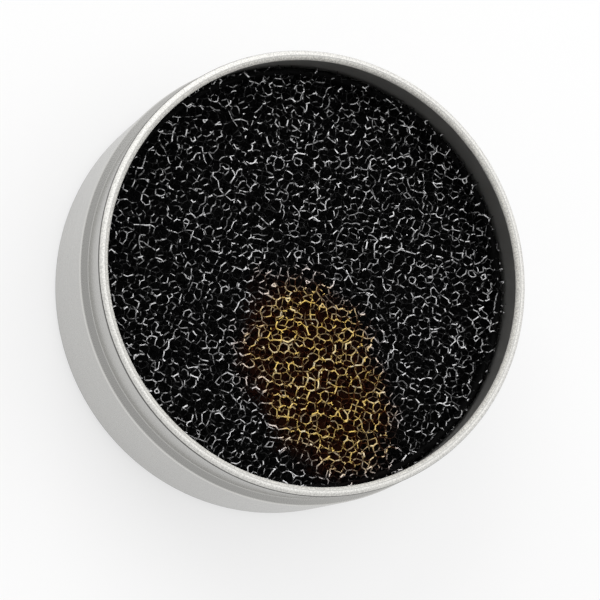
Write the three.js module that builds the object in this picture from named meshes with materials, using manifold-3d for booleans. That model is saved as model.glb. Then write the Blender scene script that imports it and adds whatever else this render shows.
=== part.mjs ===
// A round aluminium tin that holds a black open-cell sponge for dry cleaning.
// Millimetres, +Z up out of the mouth, origin at the middle of the underside.
import * as THREE from 'three';
import { mergeVertices } from 'three/addons/utils/BufferGeometryUtils.js';
import Module from 'manifold-3d';

// Tin: one drawn sheet with a flat base, straight body, sloped shoulder, neck and curled rim.
const SHEET = 0.5;
const TIN_HEIGHT = 29.5;
const BODY_RADIUS = 40;
const BASE_CORNER_RADIUS = 1.2;
const SHOULDER_HEIGHT = 19.3;
const NECK_RADIUS = 38.75;
const SHOULDER_FILLET = 0.45;
const RIM_RADIUS = 38.24;
const RIM_BEAD_RADIUS = 0.815;

// Sponge: a disc that clears the curl of the rim, so that it can be lifted out.
const SPONGE_RADIUS = 37.1;
const SPONGE_TOP = 23.3;
const SPONGE_FLOOR_GAP = 0.3;
const SPONGE_EDGE_RADIUS = 1;

// Open cells of the sponge's upper face: pits on a shaken lattice, with ridges between them.
const CELL_SPACING = 2.3;
const CELL_ROW_SPACING = CELL_SPACING / Math.SQRT2;
const CELL_SHAKE = 0.5 * CELL_SPACING;
const CELL_DEPTH = 3;
const CELL_DEPTH_SPREAD = 0.4;
const CELL_RIDGE_DROP = 0.15;
const CELL_EDGE_MARGIN = 0.1;
const CELL_FIELD_RADIUS = SPONGE_RADIUS - SPONGE_EDGE_RADIUS - CELL_EDGE_MARGIN;
const CELL_CLEARANCE = 1;

// Multipliers that scatter a cell's column, row and salt into a number that looks random.
const SCATTER_COLUMN = 127.1;
const SCATTER_ROW = 311.7;
const SCATTER_SALT = 74.7;
const SCATTER_GAIN = 43758.5453;
const SALT_ACROSS = 1;
const SALT_ALONG = 2;
const SALT_DEPTH = 3;

const METAL = { color: 0xbcbbb6, roughness: 0.36, metalness: 1 };
const FOAM = { color: 0x0e0e0f, roughness: 0.55, metalness: 0 };

const TURN_SEGMENTS = 96;
const CORNER_STEPS = 3;
const FILLET_STEPS = 2;
const BEAD_STEPS = 14;

const QUARTER = Math.PI / 2;
const SLOPE = Math.PI / 4;

const wasm = await Module();
wasm.setup();

// Points of a circular arc in the half plane of radius and height, from one angle to another.
function arc(radius, height, size, from, to, steps) {
  const clockwise = to < from;
  return new THREE.EllipseCurve(radius, height, size, size, from, to, clockwise).getPoints(steps);
}

// Solid of revolution about +Z from a profile of radius and height that ends on the axis.
function turned(profile) {
  return new THREE.LatheGeometry(profile, TURN_SEGMENTS).rotateX(QUARTER);
}

// One skin of the wall, from the base up to the neck, set in from the outside by `inset`.
function wallSkin(inset) {
  const body = BODY_RADIUS - inset;
  const neck = NECK_RADIUS - inset;
  const corner = BASE_CORNER_RADIUS - inset;
  const outerFillet = SHOULDER_FILLET + SHEET - inset;
  const innerFillet = SHOULDER_FILLET + inset;
  const shoulderFoot = SHOULDER_HEIGHT - inset * Math.tan(SLOPE / 2);
  const neckFoot = shoulderFoot + body - neck;
  const outerSetback = outerFillet * Math.tan(SLOPE / 2);
  const innerSetback = innerFillet * Math.tan(SLOPE / 2);
  return [
    ...arc(body - corner, inset + corner, corner, -QUARTER, 0, CORNER_STEPS),
    ...arc(body - outerFillet, shoulderFoot - outerSetback, outerFillet, 0, SLOPE, FILLET_STEPS),
    ...arc(neck + innerFillet, neckFoot + innerSetback, innerFillet, Math.PI + SLOPE, Math.PI, FILLET_STEPS),
  ];
}

// The rim is curled inwards into a bead that stands a little proud of the neck on the outside.
function rimBead() {
  const height = TIN_HEIGHT - RIM_BEAD_RADIUS;
  const outside = -Math.acos((NECK_RADIUS - RIM_RADIUS) / RIM_BEAD_RADIUS);
  const inside = 2 * Math.PI - Math.acos((NECK_RADIUS - SHEET - RIM_RADIUS) / RIM_BEAD_RADIUS);
  return arc(RIM_RADIUS, height, RIM_BEAD_RADIUS, outside, inside, BEAD_STEPS);
}

function tinProfile() {
  return [
    new THREE.Vector2(0, 0),
    ...wallSkin(0),
    ...rimBead(),
    ...wallSkin(SHEET).reverse(),
    new THREE.Vector2(0, SHEET),
  ];
}

function discProfile() {
  const underside = SHEET + SPONGE_FLOOR_GAP;
  const edge = SPONGE_RADIUS - SPONGE_EDGE_RADIUS;
  const lower = underside + SPONGE_EDGE_RADIUS;
  const upper = SPONGE_TOP - SPONGE_EDGE_RADIUS;
  return [
    new THREE.Vector2(0, underside),
    ...arc(edge, lower, SPONGE_EDGE_RADIUS, -QUARTER, 0, CORNER_STEPS),
    ...arc(edge, upper, SPONGE_EDGE_RADIUS, 0, QUARTER, CORNER_STEPS),
    new THREE.Vector2(0, SPONGE_TOP),
  ];
}

// A number from 0 to 1 that looks random but is always the same for one cell.
function chance(column, row, salt) {
  const phase = column * SCATTER_COLUMN + row * SCATTER_ROW + salt * SCATTER_SALT;
  const wave = Math.sin(phase) * SCATTER_GAIN;
  return wave - Math.floor(wave);
}

// The same number carried to the range from minus a half to a half.
function offset(column, row, salt) {
  return chance(column, row, salt) - 0.5;
}

function cellMiddle(column, row) {
  return new THREE.Vector2(
    (column + row / 2) * CELL_SPACING + offset(column, row, SALT_ACROSS) * CELL_SHAKE,
    row * CELL_ROW_SPACING + offset(column, row, SALT_ALONG) * CELL_SHAKE,
  );
}

// The point where three neighbouring cells meet, given each cell's column and row, kept on the face.
function meeting(...cells) {
  const sum = cells.reduce((total, cell) => total.add(cellMiddle(...cell)), new THREE.Vector2());
  return sum.divideScalar(cells.length).clampLength(0, CELL_FIELD_RADIUS);
}

// Every trio of neighbours stands either on a side or on a point of its triangle.
function onSide(c, r) {
  return meeting([c, r], [c + 1, r], [c, r + 1]);
}

function onPoint(c, r) {
  return meeting([c + 1, r], [c + 1, r + 1], [c, r + 1]);
}

// Corners of a cell in turn, each with the neighbour across the side that follows it.
function cellCorners(c, r) {
  return [
    { at: onPoint(c, r - 1), next: [c + 1, r] },
    { at: onSide(c, r), next: [c, r + 1] },
    { at: onPoint(c - 1, r), next: [c - 1, r + 1] },
    { at: onSide(c - 1, r), next: [c - 1, r] },
    { at: onPoint(c - 1, r - 1), next: [c, r - 1] },
    { at: onSide(c, r - 1), next: [c + 1, r - 1] },
  ];
}

function isOpenCell(c, r) {
  return cellMiddle(c, r).length() < CELL_FIELD_RADIUS - CELL_CLEARANCE / 2;
}

function openCells() {
  const reach = Math.ceil((2 * CELL_FIELD_RADIUS) / CELL_SPACING);
  const span = Array.from({ length: 2 * reach + 1 }, (_, i) => i - reach);
  return span.flatMap((c) => span.map((r) => [c, r])).filter((cell) => isOpenCell(...cell));
}

// All the open space of the pits as one body, from their floors up to a lid above the face.
function cellSpace() {
  const ridge = SPONGE_TOP - CELL_RIDGE_DROP;
  const lid = SPONGE_TOP + CELL_CLEARANCE;
  const points = [];
  const face = (...corners) => corners.forEach(([at, z]) => points.push(at.x, at.y, z));
  for (const [c, r] of openCells()) {
    const middle = cellMiddle(c, r);
    const floor = SPONGE_TOP - CELL_DEPTH * (1 + offset(c, r, SALT_DEPTH) * CELL_DEPTH_SPREAD);
    const corners = cellCorners(c, r);
    corners.forEach(({ at, next }, i) => {
      const after = corners[(i + 1) % corners.length].at;
      face([middle, floor], [after, ridge], [at, ridge]);
      face([middle, lid], [at, lid], [after, lid]);
      if (!isOpenCell(...next)) {
        face([at, ridge], [after, ridge], [after, lid]);
        face([at, ridge], [after, lid], [at, lid]);
      }
    });
  }
  const geometry = new THREE.BufferGeometry();
  geometry.setAttribute('position', new THREE.Float32BufferAttribute(points, 3));
  return geometry;
}

// A closed mesh as a solid that can be cut, with its shared points merged.
function solidOf(geometry) {
  geometry.deleteAttribute('normal');
  geometry.deleteAttribute('uv');
  const merged = mergeVertices(geometry);
  const mesh = new wasm.Mesh({
    numProp: 3,
    vertProperties: merged.getAttribute('position').array,
    triVerts: Uint32Array.from(merged.index.array),
  });
  return new wasm.Manifold(mesh);
}

function geometryOf(solid) {
  const { vertProperties, triVerts } = solid.getMesh();
  const geometry = new THREE.BufferGeometry();
  geometry.setAttribute('position', new THREE.BufferAttribute(vertProperties, 3));
  geometry.setIndex(new THREE.BufferAttribute(triVerts, 1));
  geometry.computeVertexNormals();
  return geometry;
}

function sponge() {
  return geometryOf(solidOf(turned(discProfile())).subtract(solidOf(cellSpace())));
}

function piece(name, geometry, look) {
  const mesh = new THREE.Mesh(geometry, new THREE.MeshStandardMaterial(look));
  mesh.name = name;
  return mesh;
}

const tin = new THREE.Group();
tin.add(piece('tin_body', turned(tinProfile()), METAL));
tin.add(piece('sponge_disc', sponge(), FOAM));

export default tin;
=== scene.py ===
"""A drawn aluminium tin with a black open-cell sponge for dry cleaning."""

import math
from itertools import combinations

import bpy
import numpy as np
from mathutils import Matrix, Vector, kdtree


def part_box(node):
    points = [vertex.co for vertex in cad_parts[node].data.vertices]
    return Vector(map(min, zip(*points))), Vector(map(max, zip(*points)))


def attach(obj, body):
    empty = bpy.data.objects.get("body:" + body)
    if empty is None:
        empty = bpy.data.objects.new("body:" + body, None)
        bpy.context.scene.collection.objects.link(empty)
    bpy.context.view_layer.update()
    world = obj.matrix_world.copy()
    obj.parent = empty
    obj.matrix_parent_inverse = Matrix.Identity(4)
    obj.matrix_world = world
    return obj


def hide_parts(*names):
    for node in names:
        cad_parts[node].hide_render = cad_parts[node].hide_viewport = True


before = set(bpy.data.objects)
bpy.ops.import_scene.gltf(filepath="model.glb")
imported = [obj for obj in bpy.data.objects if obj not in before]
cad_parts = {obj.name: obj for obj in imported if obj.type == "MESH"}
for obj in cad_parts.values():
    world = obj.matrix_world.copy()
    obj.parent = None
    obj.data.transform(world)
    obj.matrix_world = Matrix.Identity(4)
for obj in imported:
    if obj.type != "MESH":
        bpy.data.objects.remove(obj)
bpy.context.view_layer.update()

bl_info = {
    "name": "Sponge Tin",
    "version": (1, 0, 0),
    "blender": (4, 5, 0),
    "location": "3D View > Sidebar > Sponge Tin",
    "description": "Builds a drawn aluminium tin with an open-cell sponge, and a plain studio",
    "category": "Add Mesh",
}

MM = 0.001
WHITE = (1.0, 1.0, 1.0, 1.0)
BLACK = (0.001, 0.001, 0.001, 1.0)
BAKE_MAP = "OFBake"
SHINE = "shine"
TIN_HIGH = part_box("tin_body")[1]
SPONGE_LOW, SPONGE_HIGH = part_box("sponge_disc")

# Turned pieces: faces round the axis, bends, and points along the outlines.
TIN_SEGMENTS = 288
CORE_SEGMENTS = 192
SHARP_ANGLE = math.radians(40)
SHOULDER_SLOPE = math.radians(45)
CURL_END = math.radians(246)
BASE_POINTS = 9
WALL_POINTS = 9
NECK_POINTS = 7
CORNER_STEPS = 10
OUTER_FILLET_STEPS = 8
INNER_FILLET_STEPS = 6
CURL_STEPS = 40
CURL_INSIDE_STEPS = 24
CORE_FLAT_POINTS = 24
CORE_SIDE_POINTS = 12
CORE_BEND = 2.0 * MM
CORE_BEND_STEPS = 5
LIP_BEND = 0.4 * MM
LIP_STEPS = 8
LIP_FOOT_STEPS = 4

# Grain of each surface, and other noise as scale and detail.
METAL_GRAIN = {"Fineness": 5200.0, "Blotch size": 55.0}
FOAM_GRAIN = {"Fineness": 7000.0, "Blotch size": 450.0}
DEPTHS_GRAIN = {"Fineness": 900.0, "Blotch size": 300.0}
GRAIN_DETAIL = 2.0
BLOTCH_DETAIL = 4.0
DIE_RINGS = (3400.0, 3.0)
BEAD_FLECKS = (3800.0, 2.0)
STAIN_RAGS = (190.0, 3.0)
RIDGE_PATCHES = (1000.0, 2.0)

# Lighter and darker tones, as shares of a colour. The pale metal tone is painted highlight, the
# dark metal tone is painted shade, and the fallen powder tone is painted shade on the foam's
# inside.
HIGHLIGHT_METAL = 1.75
DULL_METAL = 0.92
SHADE_METAL = 0.3
DARK_FOAM = 0.4
FALLEN_POWDER_SHADE = 0.25

# The patch of powder: an oval on the upper face, and the share of it where powder builds up.
STAIN_MIDDLE = (17.0 * MM, -5.9 * MM)
STAIN_REACH = (21.0 * MM, 13.4 * MM)
STAIN_BUILD_UP = 0.25

# Multipliers that scatter a cell's column, row and salt into a number that looks random.
SCATTER_COLUMN = 127.1
SCATTER_ROW = 311.7
SCATTER_SALT = 74.7
SCATTER_GAIN = 43758.5453
SALTS = (1, 2, 3)
LAYER_SALT = 10
CORE_SALT = 5

# Growth of the foam. The margin and the shortest edge are counted in cells.
FOAM_DRAW = 11
LAYERS_ABOVE = 2
CELL_MARGIN = 1.6
CELL_NEIGHBOURS = 26
SHORTEST_EDGE = 0.12
SETTLING_ROUNDS = 2
SETTLING_PULL = 0.5
CUT_RAGGED = 0.25 * MM
SHORTEST_STRUT = 0.12 * MM
CORE_ROUGHNESS = 0.6 * MM
FLAT_FOUR = 1e-14
TOUCHING = 1e-10
TINY = 1e-18

# Struts. How upright one runs decides which way its sides are measured off and how much it can
# shine, and shine and caked powder add to its girth. A strut's shine is painted into its colour as
# a pale highlight. Plain ones have the same girth throughout.
SIDES = 3
UPRIGHT = 0.8
SHINE_LIMIT = 0.75
SHINE_RANGE = 0.45
GIRTH = 0.7
GIRTH_SHINE = 0.75
GIRTH_CAKED = 0.5
BOW = 0.05 * MM
PLAIN_GIRTH = 1.25

# A strut's own place on the bake map: its sides below, its two ends above them.
MAP_ACROSS = (0.05, 0.95)
MAP_SIDES = (0.05, 0.75)
MAP_ENDS = (
    ((0.05, 0.82), (0.45, 0.82), (0.25, 0.95)),
    ((0.55, 0.82), (0.95, 0.82), (0.75, 0.95)),
)
FACE_CORNERS = ((0, 0), (1, 0), (1, 1), (0, 1))

# Studio: floor, even light, lamps by bearing and height in degrees, and the camera's film.
FLOOR_GLOW = 0.62
FLOOR_REACH = 4.0
FLOOR_CORNERS = ((-1, -1), (1, -1), (1, 1), (-1, 1))
ROOM_LIGHT = 0.6
SOFTBOXES = {
    "softbox_over": {
        "azimuth": 90.0, "elevation": 68.5, "distance": 0.9, "size": 1.0, "power": 3.6
    },
    "softbox_left": {
        "azimuth": 175.0, "elevation": 35.0, "distance": 1.0, "size": 0.7, "power": 4.0
    },
}
FILM_WIDTH = 36.0
NEAREST_SEEN = 0.01


def length(name, description, default):
    """A property that holds a length in metres."""
    return bpy.props.FloatProperty(
        name=name, description=description, default=default, min=0.0, precision=5, unit="LENGTH"
    )


def angle(name, description, degrees):
    """A property that holds an angle."""
    return bpy.props.FloatProperty(
        name=name, description=description, default=math.radians(degrees), unit="ROTATION"
    )


def colour(name, description, default):
    """A property that holds a colour, as linear red, green and blue."""
    return bpy.props.FloatVectorProperty(
        name=name,
        description=description,
        default=default,
        min=0.0,
        max=1.0,
        size=3,
        subtype="COLOR",
    )


class TinSizes(bpy.types.PropertyGroup):
    """Sizes of the drawn shell."""

    body_radius: length("Body radius", "Outside radius of the straight body", TIN_HIGH.x)
    height: length("Height", "From the underside to the top of the rim", TIN_HIGH.z)
    sheet: length("Sheet", "Thickness of the metal", 0.5 * MM)
    base_corner: length("Base corner", "Outside radius between base and body", 1.2 * MM)
    shoulder_height: length("Shoulder height", "Where the shoulder starts", 19.3 * MM)
    shoulder_fillet: length("Shoulder fillet", "Inside radius of the shoulder's bends", 0.45 * MM)
    neck_radius: length("Neck radius", "Outside radius of the neck above the shoulder", 38.75 * MM)
    rim_radius: length("Rim radius", "Radius of the middle of the curled rim", 38.24 * MM)
    bead_radius: length("Bead radius", "Radius of the curl itself", 0.815 * MM)
    curl_sheet: length("Curl sheet", "Thickness of the metal in the curl", 0.36 * MM)


class SpongeSizes(bpy.types.PropertyGroup):
    """Sizes of the foam disc and of its cells."""

    radius: length("Radius", "Radius of the disc, pressed to the wall", SPONGE_HIGH.x + 0.95 * MM)
    underside: length("Underside", "Height of the disc's lower face", SPONGE_LOW.z)
    top: length("Top", "Height of the disc's upper face", SPONGE_HIGH.z)
    cell: length("Cell", "Distance between cells of the lattice that the foam grows from", 2.3 * MM)
    shake: length("Shake", "How far across a cell may lie off its place in the lattice", 1.15 * MM)
    first_cells: length("First cells", "Depth of the middles of the first cells", 0.54 * MM)
    strut: length("Strut", "Radius of a strut at its waist", 0.078 * MM)
    knot: length("Knot", "Radius of a strut where struts meet", 0.11 * MM)
    face_depth: length("Face depth", "Depth of the fine web on the upper face", 1.3 * MM)
    middle_depth: length("Middle depth", "Depth of the plainer web below it", 2.9 * MM)
    deep_depth: length("Deep depth", "Depth of the lowest web that shows from above", 4.5 * MM)
    skin_depth: length("Skin depth", "Depth of the web round the side and underneath", 1.9 * MM)
    lip_inset: length("Lip inset", "How far in the dense edge by the wall lies", 0.35 * MM)
    lip_depth: length("Lip depth", "How far the dense edge lies below the upper face", 0.7 * MM)


class Finishes(bpy.types.PropertyGroup):
    """Colours of the metal, the foam and the pigment that is left on it, and the painted highlight
    on the foam's ridges.
    """

    metal: colour("Metal", "Satin aluminium", (0.5, 0.495, 0.478))
    foam: colour("Foam", "Black polyurethane foam", (0.002, 0.002, 0.0022))
    # Painted highlight: this pale colour is put on the upper ridges of struts near the face, where
    # light would glint.
    ridge_highlight: colour("Foam ridge", "Shine along the upper ridges of the foam", (0.95, 0.95, 0.96))
    pigment: colour("Pigment", "Powder left on the upper ridges", (1.0, 0.72, 0.2))
    # Pale pigment is also mixed in on struts that shine, as painted highlight.
    pigment_pale: colour("Pale pigment", "Powder where only a little is left", (1.0, 0.88, 0.6))
    pigment_rim: colour("Pigment rim", "Powder at the edge of the stain", (0.92, 0.75, 0.7))
    # The powder's colour darkened as painted shade, for strut flanks and deeper struts.
    pigment_in_shade: colour("Pigment hollow", "Powder down in the cells", (0.065, 0.011, 0.0005))
    floor: colour("Floor", "Plain pale floor", (0.9, 0.9, 0.9))


class Studio(bpy.types.PropertyGroup):
    """Where the camera stands and how it is turned."""

    elevation: angle("Elevation", "Height of the camera above the horizon", 68.54)
    roll: angle("Roll", "Turn of the picture about the line of sight", 64.72)
    distance: length("Distance", "From the camera to the plane of the rim", 371.3 * MM)
    aim_right: length("Aim right", "Rim's middle, right of the line of sight", 3.2 * MM)
    aim_up: length("Aim up", "Rim's middle, above the line of sight", 5.1 * MM)
    lens: bpy.props.FloatProperty(
        name="Lens", description="Focal length", default=129.0, unit="CAMERA"
    )


def connect(tree, socket, value):
    """Links a socket to another one, or sets its value."""
    if isinstance(value, bpy.types.NodeSocket):
        tree.links.new(value, socket)
    else:
        socket.default_value = value


def put(tree, kind, inputs=None, **settings):
    """Adds a node, with its settings and with values or links on its inputs."""
    node = tree.nodes.new(kind)
    for key, value in settings.items():
        setattr(node, key, value)
    for key, value in (inputs or {}).items():
        connect(tree, node.inputs[key], value)
    return node


def maths(tree, operation, a, b=0.0, clamp=False):
    """The output of a Math node on two values or sockets."""
    node = put(tree, "ShaderNodeMath", {0: a, 1: b}, operation=operation, use_clamp=clamp)
    return node.outputs[0]


def ramped(tree, value, low, high, to_low=0.0, to_high=1.0):
    """A value carried smoothly from one range to another."""
    node = put(
        tree,
        "ShaderNodeMapRange",
        {"Value": value, "From Min": low, "From Max": high, "To Min": to_low, "To Max": to_high},
        interpolation_type="SMOOTHSTEP",
    )
    return node.outputs["Result"]


def mixed(tree, share, first, second):
    """A colour between two colours."""
    node = put(tree, "ShaderNodeMix", data_type="RGBA")
    for key, value in (("Factor", share), (6, first), (7, second)):
        connect(tree, node.inputs[key], value)
    return node.outputs[2]


def summed(tree, start, *parts):
    """A value plus shares of other values, each given with its share."""
    total = start
    for value, share in parts:
        total = maths(tree, "ADD", total, maths(tree, "MULTIPLY", value, share))
    return total


def distance_from(tree, value, level):
    """How far a value lies from a level, on either side."""
    return maths(tree, "ABSOLUTE", maths(tree, "SUBTRACT", value, level))


def noise(tree, position, scale, detail):
    """Even noise from 0 to 1."""
    inputs = {"Vector": position, "Scale": scale, "Detail": detail}
    return put(tree, "ShaderNodeTexNoise", inputs).outputs["Fac"]


def height_of(tree, vector):
    """The upward part of a vector."""
    return put(tree, "ShaderNodeSeparateXYZ", {"Vector": vector}).outputs["Z"]


def level_part(tree, vector):
    """A vector without its upward part."""
    inputs = {0: vector, 1: (1.0, 1.0, 0.0)}
    return put(tree, "ShaderNodeVectorMath", inputs, operation="MULTIPLY").outputs[0]


def length_of(tree, vector):
    """The length of a vector."""
    return put(tree, "ShaderNodeVectorMath", {0: vector}, operation="LENGTH").outputs["Value"]


def bumped(tree, height, strength, distance):
    """Normals of a surface with fine relief."""
    inputs = {"Height": height, "Strength": strength, "Distance": distance}
    return put(tree, "ShaderNodeBump", inputs).outputs["Normal"]


def opaque(rgb):
    """A colour property as red, green, blue and alpha."""
    return (*rgb, 1.0)


def toned(rgb, share):
    """A lighter or darker tone of a colour, as red, green, blue and alpha."""
    return opaque([min(1.0, part * share) for part in rgb])


def new_group(name, takes, gives):
    """An empty shader node group with named sockets, with its input and output nodes."""
    tree = bpy.data.node_groups.new(name, "ShaderNodeTree")
    for socket, kind in takes:
        tree.interface.new_socket(socket, in_out="INPUT", socket_type=kind)
    for socket, kind in gives:
        tree.interface.new_socket(socket, in_out="OUTPUT", socket_type=kind)
    return tree, put(tree, "NodeGroupInput"), put(tree, "NodeGroupOutput")


def place(tree, group, inputs):
    """Puts a node group into a material."""
    return put(tree, "ShaderNodeGroup", inputs, node_tree=group)


def grain_group():
    """Fine even grain with slow blotches in it, for any surface."""
    if found := bpy.data.node_groups.get("fine_grain"):
        return found
    tree, given, out = new_group(
        "fine_grain",
        (
            ("Position", "NodeSocketVector"),
            ("Fineness", "NodeSocketFloat"),
            ("Blotch size", "NodeSocketFloat"),
        ),
        (("Grain", "NodeSocketFloat"), ("Blotches", "NodeSocketFloat")),
    )
    position = given.outputs["Position"]
    grain = noise(tree, position, given.outputs["Fineness"], GRAIN_DETAIL)
    blotches = noise(tree, position, given.outputs["Blotch size"], BLOTCH_DETAIL)
    tree.links.new(grain, out.inputs["Grain"])
    tree.links.new(blotches, out.inputs["Blotches"])
    return tree


def stain_group():
    """The patch of pigment on the sponge's upper face: a soft blot with a ragged edge."""
    if found := bpy.data.node_groups.get("pigment_stain"):
        return found
    tree, given, out = new_group(
        "pigment_stain",
        (("Position", "NodeSocketVector"), ("Face height", "NodeSocketFloat")),
        (("Powder", "NodeSocketFloat"), ("Middle", "NodeSocketFloat")),
    )
    position = given.outputs["Position"]
    blot = put(
        tree,
        "ShaderNodeMapping",
        {"Vector": position, "Location": (*STAIN_MIDDLE, 0.0), "Scale": (*STAIN_REACH, 1.0)},
        vector_type="TEXTURE",
    )
    away = length_of(tree, level_part(tree, blot.outputs[0]))
    ragged = maths(tree, "SUBTRACT", noise(tree, position, *STAIN_RAGS), 0.5)
    edge = summed(tree, away, (ragged, 0.6))
    inside = ramped(tree, edge, 1.1, 0.8)
    middle = ramped(tree, edge, 1.0, 0.65)
    depth = maths(tree, "SUBTRACT", given.outputs["Face height"], height_of(tree, position))
    near = ramped(tree, depth, 4.0 * MM, 0.5 * MM)
    tree.links.new(maths(tree, "MULTIPLY", inside, near), out.inputs["Powder"])
    tree.links.new(middle, out.inputs["Middle"])
    return tree


def ridge_highlight_group():
    """Painted highlights on the upper ridges of struts near the face, some brighter than others,
    faded out as painted shade with depth and near the disc's edge.
    """
    if found := bpy.data.node_groups.get("painted_ridge_highlights"):
        return found
    tree, given, out = new_group(
        "painted_ridge_highlights",
        (
            ("Position", "NodeSocketVector"),
            ("Facing", "NodeSocketVector"),
            ("Face height", "NodeSocketFloat"),
            ("Face radius", "NodeSocketFloat"),
            ("Shine", "NodeSocketFloat"),
            ("Coat", "NodeSocketFloat"),
        ),
        (("Ridges", "NodeSocketFloat"),),
    )
    position = given.outputs["Position"]
    upward = height_of(tree, given.outputs["Facing"])
    depth = maths(tree, "SUBTRACT", given.outputs["Face height"], height_of(tree, position))
    out_from_axis = length_of(tree, level_part(tree, position))
    from_edge = maths(tree, "SUBTRACT", given.outputs["Face radius"], out_from_axis)
    # Painted shade: the highlights fade out within 0.4 mm of the disc's edge, under the rim, and
    # with depth below the face.
    open_to_light = ramped(tree, from_edge, 0.0, 0.4 * MM)
    near = maths(tree, "MULTIPLY", ramped(tree, depth, 2.3 * MM, 0.2 * MM), open_to_light)
    uneven = maths(tree, "SUBTRACT", noise(tree, position, *RIDGE_PATCHES), 0.5)
    coat = maths(tree, "MULTIPLY", given.outputs["Coat"], 0.35)
    chosen = summed(tree, given.outputs["Shine"], (uneven, 1.8))
    lit = ramped(tree, maths(tree, "ADD", chosen, coat), 0.38, 0.62, 0.02, 1.0)
    # Painted highlight on the sides of a strut that face upwards.
    covered = ramped(tree, maths(tree, "ADD", upward, coat), -0.2, 0.3)
    ridges = maths(tree, "MULTIPLY", covered, near)
    tree.links.new(maths(tree, "MULTIPLY", ridges, lit), out.inputs["Ridges"])
    return tree


def new_material(name):
    """A material with a Principled shader, and its node tree."""
    material = bpy.data.materials.new(name)
    material.use_nodes = True
    return material, material.node_tree, material.node_tree.nodes["Principled BSDF"]


def feed(tree, shader, **sockets):
    """Sets or links the shader's sockets; an underscore in a name stands for a space."""
    for key, value in sockets.items():
        connect(tree, shader.inputs[key.replace("_", " ")], value)


def satin_aluminium(finishes, sizes):
    """Drawn sheet: fine grain, faint rings from the die, a bead painted pale and flecked as a
    highlight, a painted highlight along the shoulder's edge, and painted shade under and round the
    bead and at the foot.
    """
    material, tree, shader = new_material("satin_aluminium")
    position = put(tree, "ShaderNodeTexCoord").outputs["Object"]
    grain = place(tree, grain_group(), {"Position": position, **METAL_GRAIN})
    axes = put(tree, "ShaderNodeSeparateXYZ", {"Vector": position})
    height = axes.outputs["Z"]
    across = level_part(tree, position)
    radius = length_of(tree, across)
    turn = maths(tree, "ARCTAN2", axes.outputs["Y"], axes.outputs["X"])
    wander = maths(tree, "MULTIPLY", turn, 0.6 * MM)
    rings_at = put(tree, "ShaderNodeCombineXYZ", {"X": radius, "Y": height, "Z": wander})
    rings = noise(tree, rings_at.outputs[0], *DIE_RINGS)
    facing = put(tree, "ShaderNodeNewGeometry").outputs["Normal"]
    outward = put(
        tree, "ShaderNodeVectorMath", {0: facing, 1: across}, operation="DOT_PRODUCT"
    ).outputs["Value"]
    reach = sizes.neck_radius
    inside = ramped(tree, outward, -0.2 * reach, -0.6 * reach)
    outside = ramped(tree, outward, 0.2 * reach, 0.5 * reach)

    under_bead = sizes.height - 2.0 * sizes.bead_radius
    bead = ramped(tree, height, under_bead, under_bead + 0.4 * MM)
    # Painted shade: the metal is darkened in a band under the bead.
    under_bead_shade = maths(
        tree,
        "MULTIPLY",
        ramped(tree, height, under_bead - 0.65 * MM, under_bead - 0.25 * MM),
        ramped(tree, height, under_bead + 0.6 * MM, under_bead + 0.2 * MM),
    )
    # A thin dark line painted round the outside of the bead at its widest part, as a painted dark
    # reflection.
    widest = under_bead + sizes.bead_radius + 0.14 * MM
    from_widest = distance_from(tree, height, widest)
    line = maths(tree, "MULTIPLY", ramped(tree, from_widest, 0.3 * MM, 0.15 * MM), outside)
    # Painted shade: the metal is darkened at the foot of the wall, next to the floor.
    foot = ramped(tree, height, sizes.base_corner + 0.4 * MM, sizes.base_corner - 0.4 * MM)
    painted_shade = maths(tree, "MAXIMUM", maths(tree, "MAXIMUM", under_bead_shade, foot), line)
    # Painted highlight: a paler band along the shoulder's outer edge.
    from_edge = distance_from(tree, height, sizes.shoulder_height - 0.1 * MM)
    shoulder_highlight = ramped(tree, from_edge, 0.4 * MM, 0.1 * MM, 0.0, 0.35)
    # Painted highlight: the bead is painted paler, with flecks, and a duller painted line along its
    # top stands in for a darker reflection.
    from_dull_line = distance_from(tree, outward, -0.22 * reach)
    off_dull_line = ramped(tree, from_dull_line, 0.2 * reach, 0.06 * reach, 1.0, 0.4)
    fleck = ramped(tree, noise(tree, position, *BEAD_FLECKS), 0.36, 0.6, 0.55, 1.0)
    bead_highlight = maths(tree, "MULTIPLY", bead, maths(tree, "MULTIPLY", fleck, off_dull_line))

    pale = toned(finishes.metal, HIGHLIGHT_METAL)
    dull = toned(finishes.metal, DULL_METAL)
    dark = toned(finishes.metal, SHADE_METAL)
    base = mixed(tree, grain.outputs["Blotches"], dull, opaque(finishes.metal))
    base = mixed(tree, bead_highlight, base, pale)
    base = mixed(tree, shoulder_highlight, base, pale)
    base = mixed(tree, painted_shade, base, dark)
    fine = grain.outputs["Grain"]
    rough = summed(tree, 0.17, (fine, 0.12), (rings, 0.08), (bead, 0.42), (inside, 0.28))
    coarse = summed(tree, 0.6, (bead, 5.0))
    relief = summed(tree, rings, (fine, coarse), (grain.outputs["Blotches"], 2.0))
    normal = bumped(tree, relief, 0.12, 0.05 * MM)
    feed(tree, shader, Base_Color=base, Roughness=rough, Metallic=1.0, Normal=normal)
    return material


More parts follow.
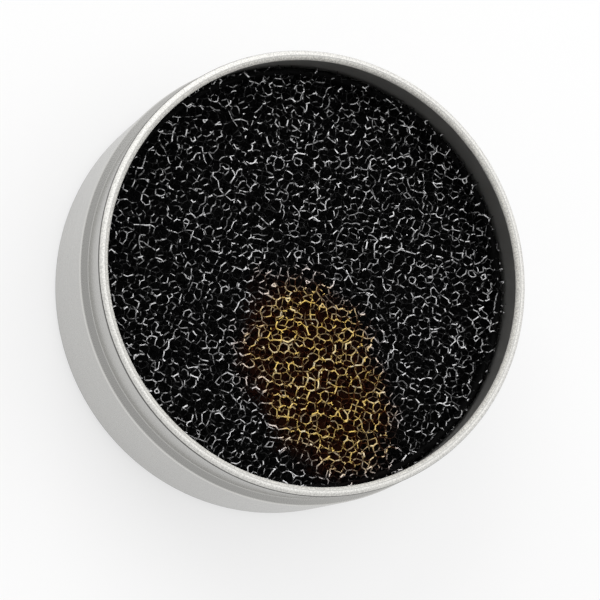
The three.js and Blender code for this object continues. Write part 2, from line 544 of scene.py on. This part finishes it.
def open_foam(finishes, sizes):
    """Black struts with painted highlights along their upper ridges, and powder on the ones that
    have been wiped over, darkened on flanks and deeper struts as painted shade.
    """
    material, tree, shader = new_material("open_foam")
    position = put(tree, "ShaderNodeTexCoord").outputs["Object"]
    facing = put(tree, "ShaderNodeNewGeometry").outputs["Normal"]
    grain = place(tree, grain_group(), {"Position": position, **FOAM_GRAIN})
    fine = grain.outputs["Grain"]
    stain = place(tree, stain_group(), {"Position": position, "Face height": sizes.top})
    shine = put(tree, "ShaderNodeAttribute", attribute_name=SHINE).outputs["Fac"]
    powder, middle = stain.outputs["Powder"], stain.outputs["Middle"]
    sunk = maths(tree, "MULTIPLY", powder, middle)
    ridge = place(
        tree,
        ridge_highlight_group(),
        {
            "Position": position,
            "Facing": facing,
            "Face height": sizes.top,
            "Face radius": sizes.radius,
            "Shine": shine,
            "Coat": sunk,
        },
    )
    # Off the highlights: the foam's own black, or the powder darkened as painted shade.
    hollow = mixed(tree, sunk, opaque(finishes.foam), opaque(finishes.pigment_in_shade))
    # Pale pigment where the powder is thin, and also on struts that shine, as painted highlight.
    thinness_and_shine = summed(tree, 0.0, (grain.outputs["Blotches"], 0.6), (shine, 0.55))
    thin_and_shining = ramped(tree, thinness_and_shine, 0.55, 0.95)
    gold = mixed(tree, thin_and_shining, opaque(finishes.pigment), opaque(finishes.pigment_pale))
    bright = mixed(tree, middle, opaque(finishes.pigment_rim), gold)
    # The painted highlight colour: pale on plain foam, the powder's brighter colours in the stain.
    highlight_colour = mixed(tree, powder, opaque(finishes.ridge_highlight), bright)
    feed(
        tree,
        shader,
        Base_Color=mixed(tree, ridge.outputs["Ridges"], hollow, highlight_colour),
        Roughness=summed(tree, 0.25, (fine, 0.2), (powder, 0.3)),
        Specular_IOR_Level=0.08,
        Normal=bumped(tree, fine, 0.15, 0.04 * MM),
    )
    return material


def foam_depths_in_shade(finishes, sizes):
    """A closed dark solid inside the foam, darker than the struts as painted shade of the deeper
    foam, seen only between the struts.
    """
    material, tree, shader = new_material("foam_depths_in_shade")
    position = put(tree, "ShaderNodeTexCoord").outputs["Object"]
    grain = place(tree, grain_group(), {"Position": position, **DEPTHS_GRAIN})
    fine = grain.outputs["Grain"]
    stain = place(tree, stain_group(), {"Position": position, "Face height": sizes.top})
    shade = mixed(tree, grain.outputs["Blotches"], BLACK, toned(finishes.foam, DARK_FOAM))
    # The powder fallen into the foam, darkened further as painted shade.
    fallen_in_shade = toned(finishes.pigment_in_shade, FALLEN_POWDER_SHADE)
    feed(
        tree,
        shader,
        Base_Color=mixed(tree, stain.outputs["Middle"], shade, fallen_in_shade),
        Roughness=summed(tree, 0.75, (fine, 0.2)),
        Specular_IOR_Level=0.1,
        Normal=bumped(tree, fine, 0.6, 0.4 * MM),
    )
    return material


def arc(radius, height, size, start, end, steps):
    """Points of radius and height along a circular arc, both ends included."""
    turns = np.linspace(start, end, steps + 1)
    return np.stack([radius + size * np.cos(turns), height + size * np.sin(turns)], 1)


def wall_skin(sizes, inset):
    """One side of the sheet from the base up to the neck, set in from the outside."""
    half = math.tan(SHOULDER_SLOPE / 2)
    turned_in = math.pi + SHOULDER_SLOPE
    body = sizes.body_radius - inset
    neck = sizes.neck_radius - inset
    corner = sizes.base_corner - inset
    outer = sizes.shoulder_fillet + sizes.sheet - inset
    inner = sizes.shoulder_fillet + inset
    foot = sizes.shoulder_height - inset * half
    neck_foot = foot + body - neck
    lower = foot - outer * half
    upper = neck_foot + inner * half
    floor = np.linspace(0.0, body - corner, BASE_POINTS)[:-1]
    wall = np.linspace(inset + corner, lower, WALL_POINTS)[1:-1]
    neck_top = sizes.height - 2 * sizes.bead_radius
    neck_wall = np.linspace(upper, neck_top, NECK_POINTS)[1:]
    return np.concatenate(
        [
            np.stack([floor, np.full_like(floor, inset)], 1),
            arc(body - corner, inset + corner, corner, -math.pi / 2, 0.0, CORNER_STEPS),
            np.stack([np.full_like(wall, body), wall], 1),
            arc(body - outer, lower, outer, 0.0, SHOULDER_SLOPE, OUTER_FILLET_STEPS),
            arc(neck + inner, upper, inner, turned_in, math.pi, INNER_FILLET_STEPS),
            np.stack([np.full_like(neck_wall, neck), neck_wall], 1),
        ]
    )


def rim_curl(sizes):
    """The rim rolled inwards: round the outside of the curl, over its cut edge and back."""
    height = sizes.height - sizes.bead_radius
    hollow = sizes.bead_radius - sizes.curl_sheet
    outside = -math.acos((sizes.neck_radius - sizes.rim_radius) / sizes.bead_radius)
    inside = -math.acos((sizes.neck_radius - sizes.sheet - sizes.rim_radius) / hollow)
    return np.concatenate(
        [
            arc(sizes.rim_radius, height, sizes.bead_radius, outside, CURL_END, CURL_STEPS),
            arc(sizes.rim_radius, height, hollow, CURL_END, inside, CURL_INSIDE_STEPS),
        ]
    )


def turned_mesh(name, profile, segments):
    """A closed mesh of revolution about Z from a profile whose two ends lie on the axis."""
    rings = len(profile) - 2
    turns = np.linspace(0.0, 2 * math.pi, segments, endpoint=False)
    around = np.stack([np.cos(turns), np.sin(turns)], 1)
    body = np.empty((rings, segments, 3))
    body[..., :2] = profile[1:-1, None, :1] * around
    body[..., 2] = profile[1:-1, 1:]
    ends = np.array([[0.0, 0.0, profile[0, 1]], [0.0, 0.0, profile[-1, 1]]])
    points = np.concatenate([body.reshape(-1, 3), ends])
    here = np.arange(segments)
    after = (here + 1) % segments
    row = np.arange(rings - 1)[:, None] * segments
    quads = np.stack([row + here, row + after, row + segments + after, row + segments + here], -1)
    first, last = rings * segments, rings * segments + 1
    top = (rings - 1) * segments
    start = np.stack([np.full(segments, first), after, here], 1)
    finish = np.stack([top + here, top + after, np.full(segments, last)], 1)
    faces = quads.reshape(-1, 4).tolist() + start.tolist() + finish.tolist()
    mesh = bpy.data.meshes.new(name)
    mesh.from_pydata(points.tolist(), [], faces)
    along = np.concatenate([[0.0], np.cumsum(np.linalg.norm(np.diff(profile, axis=0), axis=1))])
    along /= along[-1]
    across = np.append(here, segments) / segments
    quad_map = np.empty((rings - 1, segments, 4, 2))
    quad_map[..., 0] = np.stack([across[:-1], across[1:], across[1:], across[:-1]], 1)
    quad_map[..., :2, 1] = along[1:-2, None, None]
    quad_map[..., 2:, 1] = along[2:-1, None, None]
    middle = (across[:-1] + across[1:]) / 2
    level = np.ones(segments)
    edge, rim = level * along[1], level * along[-2]
    start_map = np.stack([middle, level * along[0], across[1:], edge, across[:-1], edge], 1)
    finish_map = np.stack([across[:-1], rim, across[1:], rim, middle, level * along[-1]], 1)
    maps = [quad_map.ravel(), start_map.ravel(), finish_map.ravel()]
    layer = mesh.uv_layers.new(name=BAKE_MAP)
    layer.data.foreach_set("uv", np.concatenate(maps))
    mesh.shade_smooth()
    mesh.set_sharp_from_angle(angle=SHARP_ANGLE)
    mesh.update()
    return mesh


def add_piece(name, mesh, material, body, replaced):
    """Puts a finished mesh into the scene, on its body and in place of its plain solid."""
    mesh.materials.append(material)
    piece = bpy.data.objects.new(name, mesh)
    bpy.context.scene.collection.objects.link(piece)
    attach(piece, body)
    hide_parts(replaced)
    return piece


def chance(column, row, salt):
    """Numbers from 0 to 1 that look random but are always the same for one cell."""
    phase = column * SCATTER_COLUMN + row * SCATTER_ROW + salt * SCATTER_SALT
    wave = np.sin(phase) * SCATTER_GAIN
    return wave - np.floor(wave)


def foam_seeds(sizes):
    """Middles of the cells: layers of a body-centred lattice, shaken, where web is wanted."""
    step = sizes.cell
    layer_step = row_step = step / math.sqrt(2)
    margin = CELL_MARGIN * step
    reach = sizes.radius + margin
    across = np.arange(-math.ceil(2 * reach / step), math.ceil(2 * reach / step) + 1)
    down = np.arange(-LAYERS_ABOVE, math.ceil((sizes.top - sizes.underside + margin) / layer_step))
    column, row, layer = (grid.ravel() for grid in np.meshgrid(across, across, down, indexing="ij"))
    shaken = [
        (chance(column, row, salt + LAYER_SALT * layer) - 0.5) * sizes.shake for salt in SALTS
    ]
    seeds = np.stack(
        [
            (column + row / 2 + layer % 2 / 2) * step + shaken[0],
            row * row_step + shaken[1],
            sizes.top - sizes.first_cells - layer * layer_step + shaken[2],
        ],
        1,
    )
    out = np.hypot(seeds[:, 0], seeds[:, 1])
    wanted = (out < reach) & (seeds[:, 2] > sizes.underside - margin)
    low = sizes.underside + sizes.skin_depth + margin
    high = sizes.top - sizes.deep_depth - margin
    deep_in = out < sizes.radius - sizes.skin_depth - margin
    kernel = deep_in & (seeds[:, 2] > low) & (seeds[:, 2] < high)
    return seeds[wanted & ~kernel]


def neighbours_of(points, count):
    """Indices of the nearest points to each point."""
    tree = kdtree.KDTree(len(points))
    for i, point in enumerate(points):
        tree.insert(point, i)
    tree.balance()
    return np.array([[hit[1] for hit in tree.find_n(point, count + 1)[1:]] for point in points])


def foam_knots(seeds, widest):
    """Where four cells meet: the four cells' indices and the point as far from each of them."""
    near = neighbours_of(seeds, CELL_NEIGHBOURS)
    later = near > np.arange(len(seeds))[:, None]
    tally = later.sum(1)
    fours, knots = [], []
    for count in range(3, near.shape[1] + 1):
        rows = np.nonzero(tally == count)[0]
        if not len(rows):
            continue
        trios = np.array(list(combinations(range(count), 3)))
        after = near[rows][later[rows]].reshape(len(rows), count)
        reach = seeds[after] - seeds[rows][:, None]
        a, b, c = (reach[:, trios[:, k]] for k in range(3))
        bc, ca, ab = np.cross(b, c), np.cross(c, a), np.cross(a, b)
        volume = 2 * (a * bc).sum(-1)
        volume[np.abs(volume) < FLAT_FOUR] = np.nan
        squares = [(v * v).sum(-1)[..., None] for v in (a, b, c)]
        centre = (squares[0] * bc + squares[1] * ca + squares[2] * ab) / volume[..., None]
        row, trio = np.nonzero((centre * centre).sum(-1) < widest * widest)
        found = centre[row, trio]
        others = (seeds[near[rows]] - seeds[rows][:, None])[row]
        gap = (others * others).sum(-1) - 2 * (others * found[:, None]).sum(-1)
        empty = (gap > -TOUCHING).all(1)
        row, trio, found = row[empty], trio[empty], found[empty]
        fours.append(np.concatenate([rows[row][:, None], after[row[:, None], trios[trio]]], 1))
        knots.append(seeds[rows[row]] + found)
    return np.concatenate(fours), np.concatenate(knots)


def foam_struts(fours, cells):
    """Pairs of knots that share three cells, which is where a strut runs."""
    fours = np.sort(fours, 1)
    trios = np.concatenate([np.delete(fours, k, 1) for k in range(4)])
    knot = np.tile(np.arange(len(fours)), 4)
    key = (trios[:, 0] * cells + trios[:, 1]) * cells + trios[:, 2]
    order = np.argsort(key, kind="stable")
    same = key[order][1:] == key[order][:-1]
    return np.stack([knot[order][:-1][same], knot[order][1:][same]], 1)


def joined_knots(knots, struts, shortest):
    """Draws together knots that lie too close for a strut between them."""
    group = np.arange(len(knots))

    def root(i):
        while group[i] != i:
            group[i] = group[group[i]]
            i = group[i]
        return i

    long = np.linalg.norm(knots[struts[:, 0]] - knots[struts[:, 1]], axis=1)
    for a, b in struts[long < shortest]:
        group[root(a)] = root(b)
    roots = np.array([root(i) for i in range(len(knots))])
    kept, where = np.unique(roots, return_inverse=True)
    sums = np.zeros((len(kept), 3))
    np.add.at(sums, where, knots)
    middles = sums / np.bincount(where)[:, None]
    pairs = np.unique(np.sort(where[struts], 1), axis=0)
    return middles, pairs[pairs[:, 0] != pairs[:, 1]]


def settled_knots(knots, struts, rounds):
    """Pulls each knot towards its neighbours, as surface tension does before the foam sets."""
    ends = np.concatenate([struts[:, 0], struts[:, 1]])
    others = np.concatenate([struts[:, 1], struts[:, 0]])
    count = np.maximum(np.bincount(ends, minlength=len(knots)), 1)[:, None]
    for _ in range(rounds):
        sums = np.zeros_like(knots)
        np.add.at(sums, ends, knots[others])
        knots = (1.0 - SETTLING_PULL) * knots + SETTLING_PULL * sums / count
    return knots


def cut_to_disc(starts, ends, sizes, spread):
    """Cuts the struts off at the disc's faces and side, and drops those outside it."""
    ragged = spread.uniform(0.0, CUT_RAGGED, len(starts))
    radius = sizes.radius - ragged
    top = sizes.top - ragged
    low = sizes.underside + ragged
    first, last = np.zeros(len(starts)), np.ones(len(starts))
    way = ends - starts
    for side, level in ((1.0, top), (-1.0, -low)):
        rise = side * way[:, 2]
        room = level - side * starts[:, 2]
        with np.errstate(divide="ignore", invalid="ignore"):
            meets = room / rise
        last = np.where(rise > 0, np.minimum(last, meets), last)
        first = np.where(rise < 0, np.maximum(first, meets), first)
        last = np.where((rise == 0) & (room < 0), -1.0, last)
    a = (way[:, :2] ** 2).sum(1) + TINY
    b = (way[:, :2] * starts[:, :2]).sum(1)
    c = (starts[:, :2] ** 2).sum(1) - radius**2
    inside = b * b - a * c
    root = np.sqrt(np.maximum(inside, 0.0))
    first = np.maximum(first, (-b - root) / a)
    last = np.where(inside > 0, np.minimum(last, (-b + root) / a), -1.0)
    kept = (last - first) * np.linalg.norm(way, axis=1) > SHORTEST_STRUT
    begin = starts + way * first[:, None]
    stop = starts + way * last[:, None]
    return begin[kept], stop[kept]


def strut_map(count, rows):
    """A square map with a place of its own for each strut: its three sides, then its two ends."""
    places = math.ceil(math.sqrt(count))
    strut = np.arange(count)
    corner = np.stack([strut % places, strut // places], 1)[:, None, None]
    across = np.linspace(*MAP_ACROSS, SIDES + 1)
    along = np.linspace(*MAP_SIDES, rows)
    sides = [
        [(across[k + right], along[r + up]) for right, up in FACE_CORNERS]
        for r in range(rows - 1)
        for k in range(SIDES)
    ]
    side_map = (corner + np.array(sides)) / places
    end_maps = [(corner[:, 0] + np.array(end)) / places for end in MAP_ENDS]
    return np.concatenate([side_map.ravel(), *(end.ravel() for end in end_maps)])


def strut_mesh(name, starts, ends, sizes, waisted, spread):
    """Three-sided struts, thinner at the waist than at the knots, as one mesh."""
    count = len(starts)
    way = ends - starts
    way /= np.linalg.norm(way, axis=1)[:, None]
    helper = np.where(np.abs(way[:, 2:]) < UPRIGHT, (0.0, 0.0, 1.0), (1.0, 0.0, 0.0))
    side = np.cross(way, helper)
    side /= np.linalg.norm(side, axis=1)[:, None]
    other = np.cross(way, side)
    here = np.arange(SIDES)
    after = (here + 1) % SIDES
    turns = spread.uniform(0.0, 2 * math.pi, (count, 1)) + here * 2 * math.pi / SIDES
    spoke = np.cos(turns)[..., None] * side[:, None] + np.sin(turns)[..., None] * other[:, None]
    # Shine: how strongly a strut's upper ridge is painted as a highlight; level struts can shine
    # most.
    level = ((SHINE_LIMIT - np.abs(way[:, 2])) / SHINE_RANGE).clip(0.0, 1.0)
    shine = level * spread.uniform(0.0, 1.0, count)
    from_stain = ((starts + ends)[:, :2] / 2 - STAIN_MIDDLE) / STAIN_REACH
    caked = (1.0 - np.linalg.norm(from_stain, axis=1)) / STAIN_BUILD_UP
    caked = waisted * caked.clip(0.0, 1.0)
    girth = (GIRTH + (GIRTH_SHINE + GIRTH_CAKED * caked) * shine)[:, None, None]
    bow = spread.normal(0.0, BOW, (count, 2))
    middle = (starts + ends) / 2 + side * bow[:, :1] + other * bow[:, 1:]
    rows = [(starts, sizes.knot), (middle, sizes.strut), (ends, sizes.knot)]
    if not waisted:
        rows = [(starts, sizes.strut * PLAIN_GIRTH), (ends, sizes.strut * PLAIN_GIRTH)]
    rings = np.stack([at[:, None] + spoke * girth * size for at, size in rows], 1)
    points = rings.reshape(-1, 3)
    per = SIDES * len(rows)
    base = np.arange(count)[:, None] * per
    sides = [
        np.stack([row + here, row + after, row + SIDES + after, row + SIDES + here], 1)
        for row in range(0, per - SIDES, SIDES)
    ]
    quads = (base[:, None] + np.concatenate(sides)[None]).reshape(-1, 4)
    caps = np.concatenate([base + here[::-1], base + per - SIDES + here])
    corners = np.concatenate([quads.ravel(), caps.ravel()])
    corner_counts = np.concatenate([np.full(len(quads), 4), np.full(len(caps), SIDES)])
    starts_at = np.cumsum(corner_counts) - corner_counts
    mesh = bpy.data.meshes.new(name)
    mesh.vertices.add(len(points))
    mesh.vertices.foreach_set("co", points.ravel())
    mesh.loops.add(len(corners))
    mesh.loops.foreach_set("vertex_index", corners.astype(np.int32))
    mesh.polygons.add(len(starts_at))
    mesh.polygons.foreach_set("loop_start", starts_at.astype(np.int32))
    round_off = np.zeros(len(starts_at), bool)
    round_off[: len(quads)] = True
    mesh.polygons.foreach_set("use_smooth", round_off)
    layer = mesh.uv_layers.new(name=BAKE_MAP)
    layer.data.foreach_set("uv", strut_map(count, len(rows)))
    mesh.attributes.new(SHINE, "FLOAT", "POINT").data.foreach_set("value", np.repeat(shine, per))
    mesh.update()
    mesh.validate()
    return mesh


def draw_in(mesh, amount):
    """Draws the points of a mesh in towards the axis, each by its own share of the amount."""
    points = np.empty(len(mesh.vertices) * 3)
    mesh.vertices.foreach_get("co", points)
    points = points.reshape(-1, 3)
    out = np.hypot(points[:, 0], points[:, 1])
    drawn = amount * chance(np.arange(len(points)), 0, CORE_SALT)
    points[:, :2] *= (1.0 - drawn / np.maximum(out, amount))[:, None]
    mesh.vertices.foreach_set("co", points.ravel())
    mesh.update()


def core_profile(sizes):
    """Outline of the dark inside of the foam, with a lip where the wall presses on the foam."""
    radius = sizes.radius - sizes.skin_depth
    low = sizes.underside + sizes.skin_depth
    high = sizes.top - sizes.deep_depth
    lip = sizes.radius - sizes.lip_inset
    lip_top = sizes.top - sizes.lip_depth
    lip_inside = lip - 2 * LIP_BEND
    flat = np.linspace(0.0, radius - CORE_BEND, CORE_FLAT_POINTS)[:-1]
    side = np.linspace(low + CORE_BEND, high - CORE_BEND, CORE_SIDE_POINTS)[1:]
    floor = np.linspace(lip_inside - LIP_BEND, 0.0, CORE_FLAT_POINTS)[1:]
    return np.concatenate(
        [
            np.stack([flat, np.full_like(flat, low)], 1),
            arc(
                radius - CORE_BEND, low + CORE_BEND, CORE_BEND, -math.pi / 2, 0.0, CORE_BEND_STEPS
            ),
            np.stack([np.full_like(side, radius), side], 1),
            [(lip, lip_top - 3 * LIP_BEND)],
            arc(lip - LIP_BEND, lip_top - LIP_BEND, LIP_BEND, 0.0, math.pi, LIP_STEPS),
            arc(
                lip_inside - LIP_BEND, high + LIP_BEND, LIP_BEND, 0.0, -math.pi / 2, LIP_FOOT_STEPS
            ),
            np.stack([floor, np.full_like(floor, high)], 1),
        ]
    )


class SPONGE_TIN_OT_make_tin(bpy.types.Operator):
    """Turn the drawn aluminium shell with its shoulder, neck and curled rim"""

    bl_idname = "sponge_tin.make_tin"
    bl_label = "Make Tin"

    def execute(self, context):
        sizes = context.scene.tin_sizes
        profile = np.concatenate(
            [wall_skin(sizes, 0.0), rim_curl(sizes), wall_skin(sizes, sizes.sheet)[::-1]]
        )
        mesh = turned_mesh("tin_shell", profile, TIN_SEGMENTS)
        finish = satin_aluminium(context.scene.sponge_tin_finishes, sizes)
        add_piece("tin_shell", mesh, finish, "tin", "tin_body")
        return {"FINISHED"}


class SPONGE_TIN_OT_make_sponge(bpy.types.Operator):
    """Grow the web of struts of the sponge round its dark inside"""

    bl_idname = "sponge_tin.make_sponge"
    bl_label = "Make Sponge"

    def execute(self, context):
        sizes = context.scene.sponge_sizes
        finishes = context.scene.sponge_tin_finishes
        spread = np.random.default_rng(FOAM_DRAW)
        seeds = foam_seeds(sizes)
        seeds = seeds[np.argsort(seeds[:, 0])]
        fours, knots = foam_knots(seeds, sizes.cell)
        struts = foam_struts(fours, len(seeds))
        knots, struts = joined_knots(knots, struts, SHORTEST_EDGE * sizes.cell)
        knots = settled_knots(knots, struts, SETTLING_ROUNDS)
        starts, ends = cut_to_disc(knots[struts[:, 0]], knots[struts[:, 1]], sizes, spread)
        middle = (starts + ends) / 2
        out = np.hypot(middle[:, 0], middle[:, 1])
        depth = sizes.top - middle[:, 2]
        face = depth < sizes.face_depth
        between = ~face & (depth < sizes.middle_depth)
        deep = (depth >= sizes.middle_depth) & (depth < sizes.deep_depth)
        rest = depth >= sizes.deep_depth
        side = rest & (out > sizes.radius - sizes.skin_depth)
        under = rest & ~side & (middle[:, 2] < sizes.underside + sizes.skin_depth)
        struts_look = open_foam(finishes, sizes)
        webs = (
            ("sponge_face_web", face, True),
            ("sponge_middle_web", between, False),
            ("sponge_deep_web", deep, False),
            ("sponge_side_web", side, False),
            ("sponge_under_web", under, False),
        )
        for name, wanted, waisted in webs:
            mesh = strut_mesh(name, starts[wanted], ends[wanted], sizes, waisted, spread)
            piece = add_piece(name, mesh, struts_look, "sponge", "sponge_disc")
        core = turned_mesh("sponge_core", core_profile(sizes), CORE_SEGMENTS)
        draw_in(core, CORE_ROUGHNESS)
        depths = foam_depths_in_shade(finishes, sizes)
        piece = add_piece("sponge_core", core, depths, "sponge", "sponge_disc")
        return {"FINISHED"}


class SPONGE_TIN_OT_set_studio(bpy.types.Operator):
    """Set up the pale floor, the soft lights and the camera"""

    bl_idname = "sponge_tin.set_studio"
    bl_label = "Set Up Studio"

    def execute(self, context):
        studio = context.scene.sponge_tin_studio
        tin = context.scene.tin_sizes
        rim = Vector((0.0, 0.0, tin.height - tin.bead_radius))
        make_floor(context.scene.sponge_tin_finishes)
        light_room(context.scene)
        for name, bearing in SOFTBOXES.items():
            softbox(name, rim, **bearing)
        set_camera(context.scene, studio, rim)
        context.scene.view_settings.view_transform = "Standard"
        return {"FINISHED"}


def light_path_share(tree):
    """One where the ray comes from the camera, a mirror or glass, which then sees plain white."""
    path = put(tree, "ShaderNodeLightPath")
    seen = maths(tree, "ADD", path.outputs["Is Camera Ray"], path.outputs["Is Glossy Ray"])
    return maths(tree, "ADD", seen, path.outputs["Is Transmission Ray"], clamp=True)


def make_floor(finishes):
    """A wide plain floor that keeps a faint shadow."""
    material = bpy.data.materials.new("pale_floor")
    material.use_nodes = True
    tree = material.node_tree
    tree.nodes.clear()
    plain = put(tree, "ShaderNodeBsdfDiffuse", {"Color": opaque(finishes.floor)}).outputs[0]
    white = put(tree, "ShaderNodeEmission", {"Color": WHITE, "Strength": 1.0}).outputs[0]
    share = maths(tree, "MULTIPLY", light_path_share(tree), FLOOR_GLOW)
    blend = put(tree, "ShaderNodeMixShader", {"Fac": share, 1: plain, 2: white})
    put(tree, "ShaderNodeOutputMaterial", {"Surface": blend.outputs[0]})
    corners = [(x * FLOOR_REACH, y * FLOOR_REACH, 0.0) for x, y in FLOOR_CORNERS]
    mesh = bpy.data.meshes.new("floor")
    mesh.from_pydata(corners, [], [(0, 1, 2, 3)])
    mesh.materials.append(material)
    floor = bpy.data.objects.new("floor", mesh)
    bpy.context.scene.collection.objects.link(floor)


def light_room(scene):
    """Even pale light from all round."""
    world = bpy.data.worlds.new("studio")
    scene.world = world
    world.use_nodes = True
    tree = world.node_tree
    tree.nodes.clear()
    room = put(tree, "ShaderNodeBackground", {"Color": WHITE, "Strength": ROOM_LIGHT})
    put(tree, "ShaderNodeOutputWorld", {"Surface": room.outputs[0]})


def softbox(name, target, azimuth, elevation, distance, size, power):
    """A square lamp that faces the target from a bearing and a height."""
    lamp = bpy.data.lights.new(name, "AREA")
    lamp.shape = "SQUARE"
    lamp.size = size
    lamp.energy = power
    holder = bpy.data.objects.new(name, lamp)
    bpy.context.scene.collection.objects.link(holder)
    turn, rise = math.radians(azimuth), math.radians(elevation)
    flat = math.cos(rise)
    away = Vector((math.cos(turn) * flat, math.sin(turn) * flat, math.sin(rise)))
    holder.location = target + away * distance
    holder.rotation_mode = "QUATERNION"
    holder.rotation_quaternion = away.to_track_quat("Z", "Y")


def set_camera(scene, studio, rim):
    """Stands the camera over the front of the tin and turns the picture."""
    lens = bpy.data.cameras.new("camera")
    lens.lens = studio.lens
    lens.sensor_width = FILM_WIDTH
    lens.clip_start = NEAREST_SEEN
    camera = bpy.data.objects.new("camera", lens)
    scene.collection.objects.link(camera)
    tilt = Matrix.Rotation(math.pi / 2 - studio.elevation, 4, "X")
    turn = tilt @ Matrix.Rotation(studio.roll, 4, "Z")
    back = turn.to_3x3() @ Vector((-studio.aim_right, -studio.aim_up, studio.distance))
    camera.matrix_world = Matrix.Translation(rim + back) @ turn
    scene.camera = camera


class SPONGE_TIN_PT_sidebar(bpy.types.Panel):
    """Sizes, finishes and steps of the sponge tin"""

    bl_idname = "SPONGE_TIN_PT_sidebar"
    bl_label = "Sponge Tin"
    bl_space_type = "VIEW_3D"
    bl_region_type = "UI"
    bl_category = "Sponge Tin"

    def draw(self, context):
        steps = (
            (context.scene.tin_sizes, "sponge_tin.make_tin"),
            (context.scene.sponge_sizes, "sponge_tin.make_sponge"),
            (context.scene.sponge_tin_finishes, None),
            (context.scene.sponge_tin_studio, "sponge_tin.set_studio"),
        )
        for group, operator in steps:
            box = self.layout.box()
            for key in group.__annotations__:
                box.prop(group, key)
            if operator:
                box.operator(operator)


GROUPS = (
    ("tin_sizes", TinSizes),
    ("sponge_sizes", SpongeSizes),
    ("sponge_tin_finishes", Finishes),
    ("sponge_tin_studio", Studio),
)
STEPS = (SPONGE_TIN_OT_make_tin, SPONGE_TIN_OT_make_sponge, SPONGE_TIN_OT_set_studio)


def register():
    for name, group in GROUPS:
        bpy.utils.register_class(group)
        setattr(bpy.types.Scene, name, bpy.props.PointerProperty(type=group))
    for step in STEPS:
        bpy.utils.register_class(step)
    bpy.utils.register_class(SPONGE_TIN_PT_sidebar)


def unregister():
    bpy.utils.unregister_class(SPONGE_TIN_PT_sidebar)
    for step in reversed(STEPS):
        bpy.utils.unregister_class(step)
    for name, group in reversed(GROUPS):
        delattr(bpy.types.Scene, name)
        bpy.utils.unregister_class(group)


def main():
    register()
    bpy.ops.sponge_tin.make_tin()
    bpy.ops.sponge_tin.make_sponge()
    bpy.ops.sponge_tin.set_studio()


if __name__ == "__main__":
    main()
